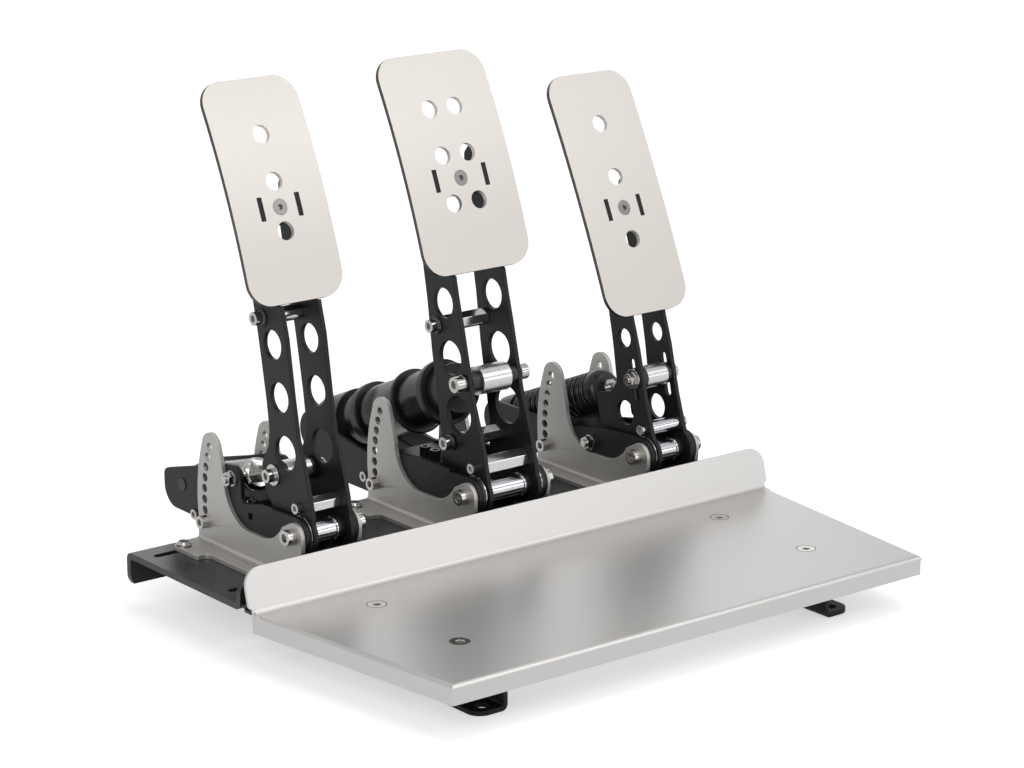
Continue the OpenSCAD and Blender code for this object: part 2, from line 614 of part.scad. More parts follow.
// Screws of the levers: spacers, trunnion, face block and face
module side_screw(p, mid, washer, length, m = 5, wide = 5.6) both() {
    cap_screw(p, m, mid + plate_t / 2 + washer, length + plate_t + washer);
    if (washer > 0) ring(p, wide, m / 2 + 0.1, mid + plate_t / 2, mid + plate_t / 2 + washer);
}
module small_screw(p, mid) both() cap_screw(p, 4, mid + plate_t / 2, plate_t + 8);
module face_screw(screw, slope) translate([0, screw[0], screw[1]]) rotate([-slope, 0, 0]) difference() {
    union() {
        dcone(4.9, 2.45, 0.1, 2.55);
        drod(2.45, 0.5, 15);
    }
    drod(1.8, -1, 1.8, 6);
}
module clutch_lever_screws() color(zinc) at_pivot(clutch_x) {
    small_screw(spacer_pin, lever_narrow);
    side_screw(clutch_spacer, lever_narrow, 1, 8);
    side_screw(clutch_pin, lever_narrow, 1.2, 6, 5, 6.6);
    side_screw(clutch_block, lever_narrow, 0, 6);
    face_screw(clutch_screw, clutch_slope);
}
module brake_lever_screws() color(zinc) at_pivot(brake_x) {
    small_screw(spacer_pin, lever_wide);
    side_screw(brake_spacer, lever_wide, 1, 8);
    side_screw(brake_mid, lever_wide, 1.5, 8, 5, 4.9);
    side_screw(brake_pin, lever_wide, 1.5, 12, 6, 5.4);
    side_screw(brake_block, lever_wide, 0, 6);
    face_screw(brake_screw, brake_slope);
}
module throttle_lever_screws() color(zinc) at_pivot(throttle_x) {
    small_screw(spacer_pin, lever_narrow);
    both() {
        xrod(throttle_pin, 2.5, 6, lever_narrow + plate_t / 2 + 6.5);
        ring(throttle_pin, 6.6, 2.6, lever_narrow + plate_t / 2, lever_narrow + plate_t / 2 + 1.2);
        hex_nut(throttle_pin, 8, 5.1, lever_narrow + plate_t / 2 + 1.2, lever_narrow + plate_t / 2 + 5.2);
    }
    side_screw(throttle_block, lever_narrow, 0, 6);
    face_screw(throttle_screw, throttle_slope);
}

// Blocks between the lever plates that take the face screws
module face_block(mid, screw, slope, pin) difference() {
    side(-lever_inside(mid), 2 * lever_inside(mid)) translate(screw) rotate(-slope)
        rounded([face_t + 0.2, -9], [face_t + 15, 9], 3);
    translate([0, screw[0], screw[1]]) rotate([-slope, 0, 0]) drod(2.55, 0, 30);
    xrod(pin, 2.55, 5, 50);
    xrod(pin, 2.55, -50, -5);
}
module clutch_face_mount() color(zinc) at_pivot(clutch_x)
    face_block(lever_narrow, clutch_screw, clutch_slope, clutch_block);
module brake_face_mount() color(zinc) at_pivot(brake_x)
    face_block(lever_wide, brake_screw, brake_slope, brake_block);
module throttle_face_mount() color(zinc) at_pivot(throttle_x)
    face_block(lever_narrow, throttle_screw, throttle_slope, throttle_block);

// Faces: bowed stainless plates with round holes, the levers' tabs through their slots
module face(screw, slope, radius, width, low, high, mid, holes)
    translate([0, screw[0], screw[1]]) rotate([-slope, 0, 0]) difference() {
        intersection() {
            translate([-width / 2, 0, 0]) rotate([90, 0, 90]) linear_extrude(width) difference() {
                translate([radius, 0]) circle(r = radius, $fn = 360);
                translate([radius, 0]) circle(r = radius - face_t, $fn = 360);
            }
            translate([0, 30, 0]) rotate([90, 0, 0]) linear_extrude(40)
                rounded([-width / 2, low], [width / 2, high], 15);
        }
        for (h = holes) translate([h[0], -5, h[1]]) rotate([-90, 0, 0])
            cylinder(d = 11.3, h = 20, $fn = fine);
        for (s = [-1, 1]) translate([s * mid - plate_t / 2 - 0.2, -5, -7]) cube([plate_t + 0.4, 20, 14.4]);
        drod(2.7, -5, 20);
        dcone(5.04, 2.6, -0.01, 2.5);
    }
module clutch_face() color(pale) at_pivot(clutch_x)
    face(clutch_screw, clutch_slope, clutch_bow, face_narrow, clutch_low, 79.7, lever_narrow,
        [for (z = [-14.4, 15.8, 44.8]) [0, z]]);
module brake_face() color(pale) at_pivot(brake_x)
    face(brake_screw, brake_slope, brake_bow, face_wide, brake_low, 80.4, lever_wide,
        [for (z = [-15, 15.3, 45.2], x = [-9.6, 9.6]) [x, z]]);
module throttle_face() color(pale) at_pivot(throttle_x)
    face(throttle_screw, throttle_slope, throttle_bow, face_narrow, throttle_low, 91.5, lever_narrow,
        [for (z = [-20.9, 20.9, 56.9]) [0, z]]);

// Trunnions that turn between the lever plates and hold the push rods
module trunnion(pin, lean, r, inside, rod, m = 5) difference() {
    xrod(pin, r, -inside, inside);
    along(pin, lean) drod(rod + 0.05, -4.6, 20);
    for (s = [-1, 1]) xrod(pin, m / 2 + 0.05, s > 0 ? 5 : -50, s > 0 ? 50 : -5);
}
module clutch_trunnion() color(zinc) at_pivot(clutch_x)
    trunnion(clutch_pin, clutch_lean, 7.5, trunnion_half, rod_narrow);
module brake_trunnion() color(zinc) at_pivot(brake_x)
    trunnion(brake_pin, brake_lean, 9, 10.9, rod_wide, 6);
module throttle_trunnion() color(zinc) at_pivot(throttle_x)
    trunnion(throttle_pin, throttle_lean, 7.5, trunnion_half, rod_narrow);

// Push rods with the nut in front of the cap and the stop nut behind the rear seat
module rod(pin, lean, r, tip, nut, stop) along(pin, lean) {
    drod(r, -4.5, tip);
    for (n = [[nut - 5, nut - 0.1], [stop, stop + 5]]) difference() {
        drod(r * 1.92, n[0], n[1], 6);
        drod(r - 0.5, n[0] - 1, n[1] + 1);
    }
}
module clutch_rod() color(zinc) at_pivot(clutch_x)
    rod(clutch_pin, clutch_lean, rod_narrow, clutch_line + 16, 38.5, clutch_line + 6.2);
module brake_rod() color(zinc) at_pivot(brake_x)
    rod(brake_pin, brake_lean, rod_wide, brake_line + 18, 34, brake_line + 8.2);
module throttle_rod() color(zinc) at_pivot(throttle_x)
    rod(throttle_pin, throttle_lean, rod_narrow, throttle_line + 16, 47.5, throttle_line + 6.2);

// Caps at the front of the springs
module clutch_cap() color(zinc) at_pivot(clutch_x) along(clutch_pin, clutch_lean) difference() {
    union() {
        dcone(8.2, 10.2, 38.5, 40.5);
        drod(10.2, 40.5, 44);
        drod(6.2, 43, 47);
    }
    drod(rod_narrow + 0.05, 30, 60);
}
module brake_cap() color(black) at_pivot(brake_x) along(brake_pin, brake_lean) difference() {
    union() {
        dcone(15.5, 16.5, 34, 35);
        drod(16.5, 35, 48);
        difference() {
            drod(brake_rim, 46.5, brake_stack[0]);
            drod(17.6, 46, 48);
        }
    }
    drod(rod_wide + 0.05, 30, 60);
}
module throttle_cap() color(black) at_pivot(throttle_x) along(throttle_pin, throttle_lean)
    difference() {
        rotate([-90, 0, 0]) rotate_extrude($fn = fine) polygon(concat([[rod_narrow + 0.05, 47.5]],
            arc([8, 53], 5.5, -90, 0, 8), [[13.5, 56.5], [rod_narrow + 0.05, 56.5]]));
        drod(1, -9, -8);
    }

// Springs: each one tube wound round its rod, with a straight length at both ends
function coil_frame(a, slope) = let (t = [-sin(a) * cos(slope), sin(slope), cos(a) * cos(slope)],
    e = [cos(a), 0, sin(a)]) [e, cross(t, e), t];
function coil_ring(c, f, w) = [for (k = [0:5]) c + w * (cos(60 * k) * f[0] + sin(60 * k) * f[1])];
function coil_centres(r, d0, d1, turns) = [for (i = [0:8 * turns])
    [r * cos(45 * i), d0 + (d1 - d0) * i / (8 * turns), r * sin(45 * i)]];
module coil(name, r, wire, d0, d1, turns) {
    slope = atan2((d1 - d0) / turns, 2 * PI * r);
    mid = coil_centres(r, d0, d1, turns);
    last = 8 * turns;
    first_f = coil_frame(0, slope);
    last_f = coil_frame(45 * last, slope);
    rings = concat([coil_ring(mid[0] - wire * first_f[2], first_f, wire / 2)],
        [for (i = [0:last]) coil_ring(mid[i], coil_frame(45 * i, slope), wire / 2)],
        [coil_ring(mid[last] + wire * last_f[2], last_f, wire / 2)]);
    n = len(rings);
    gaps = [for (i = [0:last], j = [i + 5:last]) norm(mid[i] - mid[j]) - wire];
    echo(str(name, " least gap ", min(gaps)));
    polyhedron(points = [for (ring = rings) each ring], faces = concat(
        [for (k = [1:4]) [0, k, k + 1]],
        [for (k = [1:4]) [6 * n - 6, 6 * n - 6 + k + 1, 6 * n - 6 + k]],
        [for (i = [0:n - 2], k = [0:5]) [6 * i + k, 6 * i + 6 + k, 6 * i + (k + 1) % 6]],
        [for (i = [0:n - 2], k = [0:5]) [6 * i + 6 + k, 6 * i + 6 + (k + 1) % 6, 6 * i + (k + 1) % 6]]));
}
module clutch_spring() color(zinc) at_pivot(clutch_x) along(clutch_pin, clutch_lean)
    coil("clutch spring", 8.5, 2.8, 46, 92, 10);
module throttle_spring() color(black) at_pivot(throttle_x) along(throttle_pin, throttle_lean)
    coil("throttle spring", 12, 3.6, 59.2, 137.6, 14);

// Brake elastomers and the discs between them
module puck(d0, d1) rotate([-90, 0, 0]) rotate_extrude($fn = fine)
    polygon(concat([[rod_wide + 0.6, d0 + 0.1]], arc([brake_barrel - 1, d0 + 1.1], 1, -90, 0, 4),
        arc([brake_barrel - 1, d1 - 1.1], 1, 0, 90, 4), [[rod_wide + 0.6, d1 - 0.1]]));
module brake_elastomers() color(rubber) at_pivot(brake_x) along(brake_pin, brake_lean) {
    puck(brake_stack[0], brake_stack[1]);
    puck(brake_stack[2], brake_stack[3]);
    puck(brake_stack[4], brake_stack[5]);
}
module disc(r, d0, d1) difference() {
    drod(r, d0, d1);
    drod(rod_wide + 0.4, d0 - 1, d1 + 1);
}
module brake_disc_front() color(black) at_pivot(brake_x) along(brake_pin, brake_lean)
    disc(brake_rim, brake_stack[1], brake_stack[2]);
module brake_disc_rear() color(black) at_pivot(brake_x) along(brake_pin, brake_lean)
    disc(brake_rim, brake_stack[3], brake_stack[4]);

// Rear seats, which turn in the frames' tails and let the rods slide through
module stub_pins(line, half, shoulder) both() translate([0, line, 0]) {
    xrod([0, 0], 6, shoulder, half - 2 * plate_t - 0.3);
    xrod([0, 0], pin_r, shoulder, half - plate_t + 0.5);
}
module clutch_rear_seat() color(black) at_pivot(clutch_x) along(clutch_pin, clutch_lean) difference() {
    union() {
        drod(10.5, clutch_line - 6, clutch_line + 6);
        stub_pins(clutch_line, side_narrow, 6);
    }
    drod(rod_narrow + 0.9, 0, 300);
}
module brake_rear_seat() color(black) at_pivot(brake_x) along(brake_pin, brake_lean) {
    difference() {
        union() {
            drod(brake_rim - 0.5, brake_line - 20.5, brake_line + 8);
            stub_pins(brake_line, side_wide, 12);
        }
        drod(rod_wide + 0.9, 0, 300);
    }
    difference() {
        drod(17, brake_stack[5], brake_line - 20.55);
        drod(rod_wide + 0.9, 0, 300);
    }
}
module throttle_rear_seat() color(black) at_pivot(throttle_x) along(throttle_pin, throttle_lean)
    difference() {
        union() {
            drod(14, throttle_line - 10.4, throttle_line + 6);
            drod(8.5, throttle_line - 14, throttle_line - 10);
            stub_pins(throttle_line, side_narrow, 8);
        }
        drod(rod_narrow + 0.9, 0, 300);
    }

base_plate();
heel_plate();
rail_left();
rail_right();
gap_strip();
heel_screws();
bracket_screws();
pivot_axles();
pivot_bolts();
frame_bolts();
clutch_bracket_left();
clutch_bracket_right();
clutch_frame();
clutch_sensor();
clutch_bushes();
clutch_lever_left();
clutch_lever_right();
clutch_spacers();
clutch_lever_screws();
clutch_face();
clutch_face_mount();
clutch_trunnion();
clutch_rod();
clutch_cap();
clutch_spring();
clutch_rear_seat();
brake_bracket_left();
brake_bracket_right();
brake_frame();
brake_sensor();
brake_bushes();
brake_lever_left();
brake_lever_right();
brake_spacers();
brake_lever_screws();
brake_face();
brake_face_mount();
brake_trunnion();
brake_rod();
brake_cap();
brake_elastomers();
brake_disc_front();
brake_disc_rear();
brake_rear_seat();
throttle_bracket_left();
throttle_bracket_right();
throttle_frame();
throttle_sensor();
throttle_bushes();
throttle_lever_left();
throttle_lever_right();
throttle_spacers();
throttle_lever_screws();
throttle_face();
throttle_face_mount();
throttle_trunnion();
throttle_rod();
throttle_cap();
throttle_spring();
throttle_rear_seat();
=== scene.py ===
# Sim racing pedal set: clutch, brake and throttle on a slotted base with a heel plate.
# Blender works in metres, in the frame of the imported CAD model. Sizes below are in mm.
import json
import math

import bmesh
import bpy
from mathutils import Matrix, Vector


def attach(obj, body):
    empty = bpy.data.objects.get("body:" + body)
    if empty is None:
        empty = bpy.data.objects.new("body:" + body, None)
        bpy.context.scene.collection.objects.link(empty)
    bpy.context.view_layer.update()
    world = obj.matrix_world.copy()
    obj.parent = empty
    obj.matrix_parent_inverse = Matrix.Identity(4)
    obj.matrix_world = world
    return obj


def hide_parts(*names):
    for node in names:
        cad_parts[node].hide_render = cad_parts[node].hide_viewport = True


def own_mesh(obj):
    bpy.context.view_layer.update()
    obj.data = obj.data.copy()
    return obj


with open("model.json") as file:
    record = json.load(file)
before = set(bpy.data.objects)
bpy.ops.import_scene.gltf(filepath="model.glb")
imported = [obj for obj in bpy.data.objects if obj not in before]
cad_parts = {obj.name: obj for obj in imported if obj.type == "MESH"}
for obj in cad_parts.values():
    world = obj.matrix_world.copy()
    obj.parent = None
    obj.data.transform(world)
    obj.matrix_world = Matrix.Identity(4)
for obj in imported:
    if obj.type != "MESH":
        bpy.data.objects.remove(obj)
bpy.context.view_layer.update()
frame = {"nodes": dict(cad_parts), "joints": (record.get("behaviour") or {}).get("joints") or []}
nodes = frame["nodes"]
scene = bpy.context.scene
mm = 0.001


# Camera: a long lens from the front left, a little above the pedals,
# aimed so that the set fills the picture as it does in the photograph.
camera = bpy.data.objects.new("camera", bpy.data.cameras.new("camera"))
scene.collection.objects.link(camera)
camera.data.sensor_width = 36
camera.data.lens = 112.55
camera.data.clip_end = 50
camera.location = (-1.1663, -1.4928, 0.6580)
camera.rotation_euler = (math.radians(74.533), 0, math.radians(-38.217))
scene.camera = camera


# Studio: a white sweep for the floor, an even pale room, and five soft lamps.
# The floor is lifted to white for the camera and for metal, and keeps its shadow.
scene.view_settings.view_transform = "Standard"


def link(tree, a, b):
    tree.links.new(a, b)


def seen_directly(tree):
    """One for camera and transmission rays, half for glossy ones, nought for the rest."""
    path = tree.nodes.new("ShaderNodeLightPath")
    first = tree.nodes.new("ShaderNodeMath")
    first.operation = "MULTIPLY_ADD"
    first.inputs[1].default_value = 0.5
    link(tree, path.outputs["Is Glossy Ray"], first.inputs[0])
    link(tree, path.outputs["Is Camera Ray"], first.inputs[2])
    second = tree.nodes.new("ShaderNodeMath")
    second.operation = "MAXIMUM"
    link(tree, first.outputs[0], second.inputs[0])
    link(tree, path.outputs["Is Transmission Ray"], second.inputs[1])
    return second.outputs[0]


world = bpy.data.worlds.new("studio")
scene.world = world
world.use_nodes = True
tree = world.node_tree
tree.nodes.clear()
room = tree.nodes.new("ShaderNodeBackground")
room.inputs["Color"].default_value = (0.95, 0.97, 1.0, 1)
room.inputs["Strength"].default_value = 0.45
sweep = tree.nodes.new("ShaderNodeBackground")
sweep.inputs["Color"].default_value = (1, 1, 1, 1)
sweep.inputs["Strength"].default_value = 1.0
choose = tree.nodes.new("ShaderNodeMixShader")
link(tree, seen_directly(tree), choose.inputs[0])
link(tree, room.outputs[0], choose.inputs[1])
link(tree, sweep.outputs[0], choose.inputs[2])
world_out = tree.nodes.new("ShaderNodeOutputWorld")
link(tree, choose.outputs[0], world_out.inputs[0])

floor_half = 12
floor_light = 0.54
floor_mesh = bpy.data.meshes.new("floor")
bm = bmesh.new()
bmesh.ops.create_grid(bm, x_segments=1, y_segments=1, size=floor_half)
bm.to_mesh(floor_mesh)
bm.free()
floor = bpy.data.objects.new("floor", floor_mesh)
scene.collection.objects.link(floor)
white = bpy.data.materials.new("floor_white")
white.use_nodes = True
tree = white.node_tree
tree.nodes.clear()
paper = tree.nodes.new("ShaderNodeBsdfDiffuse")
paper.inputs["Color"].default_value = (0.8, 0.8, 0.8, 1)
lift = tree.nodes.new("ShaderNodeEmission")
lift.inputs["Color"].default_value = (1, 1, 1, 1)
link(tree, seen_directly(tree), lift.inputs["Strength"])
unlit = tree.nodes.new("ShaderNodeEmission")
unlit.inputs["Strength"].default_value = 0
dim = tree.nodes.new("ShaderNodeMixShader")
dim.inputs[0].default_value = floor_light
link(tree, unlit.outputs[0], dim.inputs[1])
link(tree, lift.outputs[0], dim.inputs[2])
lifted_paper = tree.nodes.new("ShaderNodeAddShader")
link(tree, paper.outputs[0], lifted_paper.inputs[0])
link(tree, dim.outputs[0], lifted_paper.inputs[1])
floor_out = tree.nodes.new("ShaderNodeOutputMaterial")
link(tree, lifted_paper.outputs[0], floor_out.inputs[0])
floor_mesh.materials.append(white)


def lamp(name, place, aim, size, watts):
    data = bpy.data.lights.new(name, "AREA")
    data.shape = "RECTANGLE"
    data.size, data.size_y = size
    data.energy = watts
    obj = bpy.data.objects.new(name, data)
    scene.collection.objects.link(obj)
    obj.location = place
    obj.rotation_euler = (Vector(aim) - Vector(place)).to_track_quat("-Z", "Y").to_euler()


lamp("key", place=(-2.0, -1.4, 1.6), aim=(0, 0, 0.15), size=(1.6, 1.2), watts=17)
lamp("top", place=(0.2, -0.4, 2.4), aim=(0, 0, 0.1), size=(1.8, 1.2), watts=15)
lamp("side", place=(1.35, -1.9, 1.9), aim=(0, 0, 0.15), size=(1.2, 0.8), watts=8.5)
lamp("low", place=(1.15, -2.0, 0.45), aim=(0, -0.1, 0.05), size=(1.2, 0.4), watts=3.3)
lamp("rear", place=(1.4, 2.1, 0.8), aim=(0, 0, 0.05), size=(1.6, 0.9), watts=3)


# Rails: two folded steel channels, coated black, that carry the whole set.
# The coat is an even fine-grained powder that shines at a low angle.
def finish(name, color, metallic, roughness, spread, patch, grain, depth, tint):
    """A surface whose gloss and shade vary in soft patches, with a fine grain in relief.

    patch and grain are the noises' scales, and a grain of 0 leaves the relief out.
    spread is how far the roughness varies, tint how far the shade does.
    """
    mat = bpy.data.materials.new(name)
    mat.use_nodes = True
    tree = mat.node_tree
    shader = tree.nodes["Principled BSDF"]
    shader.inputs["Metallic"].default_value = metallic
    where = tree.nodes.new("ShaderNodeTexCoord")
    cloud = tree.nodes.new("ShaderNodeTexNoise")
    cloud.inputs["Scale"].default_value = patch
    cloud.inputs["Detail"].default_value = 5
    link(tree, where.outputs["Object"], cloud.inputs["Vector"])
    gloss = tree.nodes.new("ShaderNodeMapRange")
    gloss.inputs["To Min"].default_value = roughness - spread
    gloss.inputs["To Max"].default_value = roughness + spread
    link(tree, cloud.outputs["Fac"], gloss.inputs["Value"])
    link(tree, gloss.outputs[0], shader.inputs["Roughness"])
    shade = tree.nodes.new("ShaderNodeMix")
    shade.data_type = "RGBA"
    shade.inputs["A"].default_value = [c * (1 - tint) for c in color] + [1]
    shade.inputs["B"].default_value = [min(1, c * (1 + tint)) for c in color] + [1]
    link(tree, shade.outputs["Result"], shader.inputs["Base Color"])
    if not grain:
        link(tree, cloud.outputs["Fac"], shade.inputs["Factor"])
        return mat
    sand = tree.nodes.new("ShaderNodeTexNoise")
    sand.inputs["Scale"].default_value = grain
    sand.inputs["Detail"].default_value = 3
    link(tree, where.outputs["Object"], sand.inputs["Vector"])
    bump = tree.nodes.new("ShaderNodeBump")
    bump.inputs["Strength"].default_value = 1
    bump.inputs["Distance"].default_value = depth * mm
    link(tree, sand.outputs["Fac"], bump.inputs["Height"])
    link(tree, bump.outputs["Normal"], shader.inputs["Normal"])
    speck = tree.nodes.new("ShaderNodeMath")
    speck.operation = "ADD"
    link(tree, cloud.outputs["Fac"], speck.inputs[0])
    link(tree, sand.outputs["Fac"], speck.inputs[1])
    half = tree.nodes.new("ShaderNodeMath")
    half.operation = "MULTIPLY"
    half.inputs[1].default_value = 0.5
    link(tree, speck.outputs[0], half.inputs[0])
    link(tree, half.outputs[0], shade.inputs["Factor"])
    return mat


def dress(name, mat, edge):
    """Gives a CAD node its finish, and breaks its sharp edges by edge mm."""
    obj = nodes[name]
    obj.data.materials.clear()
    obj.data.materials.append(mat)
    if not edge:
        return
    weld = obj.modifiers.new("join", "WELD")
    weld.merge_threshold = 0.001 * mm
    flat = obj.modifiers.new("flats", "DECIMATE")
    flat.decimate_type = "DISSOLVE"
    flat.angle_limit = math.radians(0.4)
    split = obj.modifiers.new("triangles", "TRIANGULATE")
    split.min_vertices = 5
    bevel = obj.modifiers.new("edges", "BEVEL")
    bevel.width = edge * mm
    bevel.segments = 2
    bevel.limit_method = "ANGLE"
    bevel.angle_limit = math.radians(38)
    bevel.use_clamp_overlap = False
    even = obj.modifiers.new("even", "WEIGHTED_NORMAL")
    even.weight = 95
    even.keep_sharp = True


powder = finish("powder_coat", (0.008, 0.008, 0.0095), 0, 0.43, spread=0.04, patch=30, grain=1300,
                depth=0.12, tint=0.25)
powder.node_tree.nodes["Principled BSDF"].inputs["Specular IOR Level"].default_value = 0.3
for side in ("left", "right"):
    dress(f"rail_{side}", powder, edge=0.15)


# Base plate and gap strip: 4 mm steel sheet, slotted across for the pedals and folded at
# the front and the rear, with a thin strip that closes the gap in front of it.
coat = finish("base_coat", (0.012, 0.012, 0.0135), 0, 0.3, spread=0.03, patch=20, grain=1100,
              depth=0.06, tint=0.25)
dress("base_plate", coat, edge=0)
dress("gap_strip", coat, edge=0.25)


# Heel plate: a folded stainless tray with a kick flange behind the driver's heels.
# Its satin surface is ground and then blasted fine, and its edges stay as they are cut.
satin = finish("satin_steel", (0.60, 0.585, 0.57), 1, 0.38, spread=0.02, patch=12, grain=2200,
               depth=0.01, tint=0.04)
dress("heel_plate", satin, edge=0)


# Heel screws and bracket screws with their nuts: bright zinc steel, with hexagon sockets.
# Round each head in the heel plate a thin black ring is painted shadow in the gap to its
# countersink.
def zinc_steel(name):
    return finish(name, (0.52, 0.505, 0.485), 1, 0.17, spread=0.05, patch=160, grain=900,
                  depth=0.01, tint=0.1)


def shift(p):
    return Matrix.Translation(Vector(p) * mm)


def turned(bm, profile, place, sides):
    """Spins a profile of (along, radius) points round local X and puts it at place."""
    verts = [bm.verts.new(place @ Vector((a * mm, 0, r * mm))) for a, r in profile]
    edges = [bm.edges.new(pair) for pair in zip(verts, verts[1:])]
    bmesh.ops.spin(bm, geom=verts + edges, cent=place.translation,
                   axis=place.to_3x3() @ Vector((1, 0, 0)), angle=math.tau, steps=sides,
                   use_merge=True)


def ring_profile(r_in, r_out, x0, x1, chamfer):
    """Profile of a flat ring from x0 to x1 with its outer edges broken."""
    return [(x0, r_in), (x0, r_out - chamfer), (x0 + chamfer, r_out), (x1 - chamfer, r_out),
            (x1, r_out - chamfer), (x1, r_in), (x0, r_in)]


def piece(bm, name, mat, body, sharp=32):
    """Closes a bmesh into an object that rides on a body, smooth but for its sharp edges."""
    bmesh.ops.remove_doubles(bm, verts=bm.verts, dist=1e-7)
    bmesh.ops.recalc_face_normals(bm, faces=bm.faces)
    mesh = bpy.data.meshes.new(name)
    bm.to_mesh(mesh)
    bm.free()
    mesh.materials.append(mat)
    mesh.shade_smooth()
    mesh.set_sharp_from_angle(angle=math.radians(sharp))
    obj = bpy.data.objects.new(name, mesh)
    scene.collection.objects.link(obj)
    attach(obj, body)
    return obj


zinc = zinc_steel("bright_zinc")
dress("heel_screws", zinc, edge=0.4)
dress("bracket_screws", zinc, edge=0.2)

# Black plastic for the bushes and washers, also used for the painted shadow rings round the heel
# screws.
dark_plastic_and_shade = finish("black_plastic_and_gap_shade", (0.012, 0.012, 0.013), 0, 0.35, spread=0.06, patch=90, grain=0,
                 depth=0, tint=0.1)
heel_top = 35
heel_screw_columns = (-134, 134)
heel_screw_rows = (-134, -54)
shadow_ring_inner_r = 5.75
shadow_ring_outer_r = 6.2
upright = Matrix.Rotation(math.radians(-90), 4, "Y")
# Thin black rings just proud of the plate: painted shadow in the gaps round the screw heads.
bm = bmesh.new()
for x in heel_screw_columns:
    for y in heel_screw_rows:
        turned(bm, ring_profile(shadow_ring_inner_r, shadow_ring_outer_r, heel_top, heel_top + 0.05, 0.02),
               shift((x, y, 0)) @ upright, 48)
piece(bm, "heel_screw_gap_shadows", dark_plastic_and_shade, "base")


# Brackets: folded stainless sides, blasted to an even grey, with a drilled ear for the
# angle of each pedal and tabs that are screwed into the base plate's slots.
pedals = ("clutch", "brake", "throttle")
blasted = finish("blasted_steel", (0.53, 0.515, 0.49), 1, 0.55, spread=0.03, patch=25, grain=1100,
                 depth=0.1, tint=0.2)
for pedal in pedals:
    for side in ("left", "right"):
        dress(f"{pedal}_bracket_{side}", blasted, edge=0.3)


# Frames and sensor boxes: black coated carriers between the brackets, each with its
# sensor's moulded box between its plates.
for pedal in pedals:
    dress(f"{pedal}_frame", powder, edge=0.35)
    dress(f"{pedal}_sensor", powder, edge=0.3)


# Main axles, their cap screws and the frames' screws: turned and rolled zinc steel.
# The screws in the brake's web, in the middle between its plates, are black.
joint_at = {j["name"]: Vector(j["pos_m"]) / mm for j in frame["joints"] if "pos_m" in j}
pivot = {pedal: joint_at[f"{pedal}_pedal_hinge"] for pedal in pedals}


def two_tone(name, middle, color, metallic, roughness):
    """Bright zinc, but for what stands within 8.5 mm of the plane x = middle."""
    mat = zinc_steel(name)
    tree = mat.node_tree
    where = tree.nodes.new("ShaderNodeTexCoord")
    axes = tree.nodes.new("ShaderNodeSeparateXYZ")
    link(tree, where.outputs["Object"], axes.inputs[0])
    near = tree.nodes.new("ShaderNodeMath")
    near.operation = "COMPARE"
    near.inputs[1].default_value = middle * mm
    near.inputs[2].default_value = 8.5 * mm
    link(tree, axes.outputs["X"], near.inputs[0])
    other = tree.nodes.new("ShaderNodeBsdfPrincipled")
    other.inputs["Base Color"].default_value = color + (1,)
    other.inputs["Metallic"].default_value = metallic
    other.inputs["Roughness"].default_value = roughness
    pick = tree.nodes.new("ShaderNodeMixShader")
    link(tree, near.outputs[0], pick.inputs[0])
    link(tree, tree.nodes["Principled BSDF"].outputs[0], pick.inputs[1])
    link(tree, other.outputs[0], pick.inputs[2])
    link(tree, pick.outputs[0], tree.nodes["Material Output"].inputs[0])
    return mat


for name in ("pivot_axles", "pivot_bolts"):
    dress(name, zinc, edge=0.2)
frame_screws = two_tone("frame_screws", pivot["brake"].x, (0.012, 0.012, 0.013), 0, 0.3)
dress("frame_bolts", frame_screws, edge=0.2)


# Bushes: black plastic, flanged, pressed into the lever plates. A thin steel washer
# runs between each flange and the plate.
washer_bore_r = 10.9
washer_r = 11.5
washer_inner_side = {"clutch": 15.1, "brake": 21.4, "throttle": 15.1}
washer_outer_side = {"clutch": 15.5, "brake": 22.0, "throttle": 15.5}
for pedal in pedals:
    dress(f"{pedal}_bushes", dark_plastic_and_shade, edge=0.25)

for pedal in pedals:
    bm = bmesh.new()
    for side in (-1, 1):
        ends = sorted((side * washer_inner_side[pedal], side * washer_outer_side[pedal]))
        turned(bm, ring_profile(washer_bore_r, washer_r, *ends, 0.12), shift(pivot[pedal]), 64)
    piece(bm, f"{pedal}_thrust_washers", zinc, f"{pedal}_pedal")


# Lever plates: laser-cut 3 mm sheet, drilled for lightness and coated black.
# A pair of them carries each face, and turns on its bushes.
for pedal in pedals:
    for side in ("left", "right"):
        dress(f"{pedal}_lever_{side}", powder, edge=0.35)


# Spacers and tubes: turned and hexagonal bars, bright, which hold the two lever
# plates of each pedal apart.
bright = finish("bright_steel", (0.62, 0.63, 0.65), 1, 0.14, spread=0.05, patch=220, grain=500,
                depth=0.01, tint=0.06)
for pedal in pedals:
    dress(f"{pedal}_spacers", bright, edge=0.25)


# Lever screws, with black washers under the upper ones, and the blocks behind the faces.
# The screw in the middle of each face is of a darker steel.
for pedal in pedals:
    dark_head = two_tone(f"{pedal}_lever_screws", pivot[pedal].x, (0.27, 0.265, 0.255), 1, 0.2)
    dress(f"{pedal}_lever_screws", dark_head, edge=0.2)
    dress(f"{pedal}_face_mount", zinc, edge=0.3)


def black_washer(bm, pedal, y, z, plate, thick, r_out, r_in):
    """A washer on the outside of each lever plate, at y and z from the pedal's pivot."""
    for side in (-1, 1):
        ends = sorted((side * plate, side * (plate + thick)))
        turned(bm, ring_profile(r_in - 1, r_out, *ends, 0.25),
               shift(pivot[pedal] + Vector((0, y, z))), 48)


bm = bmesh.new()
black_washer(bm, "clutch", 39, 124.8, plate=14.75, thick=1, r_out=5.7, r_in=4.2)
piece(bm, "clutch_black_washers", dark_plastic_and_shade, "clutch_pedal")

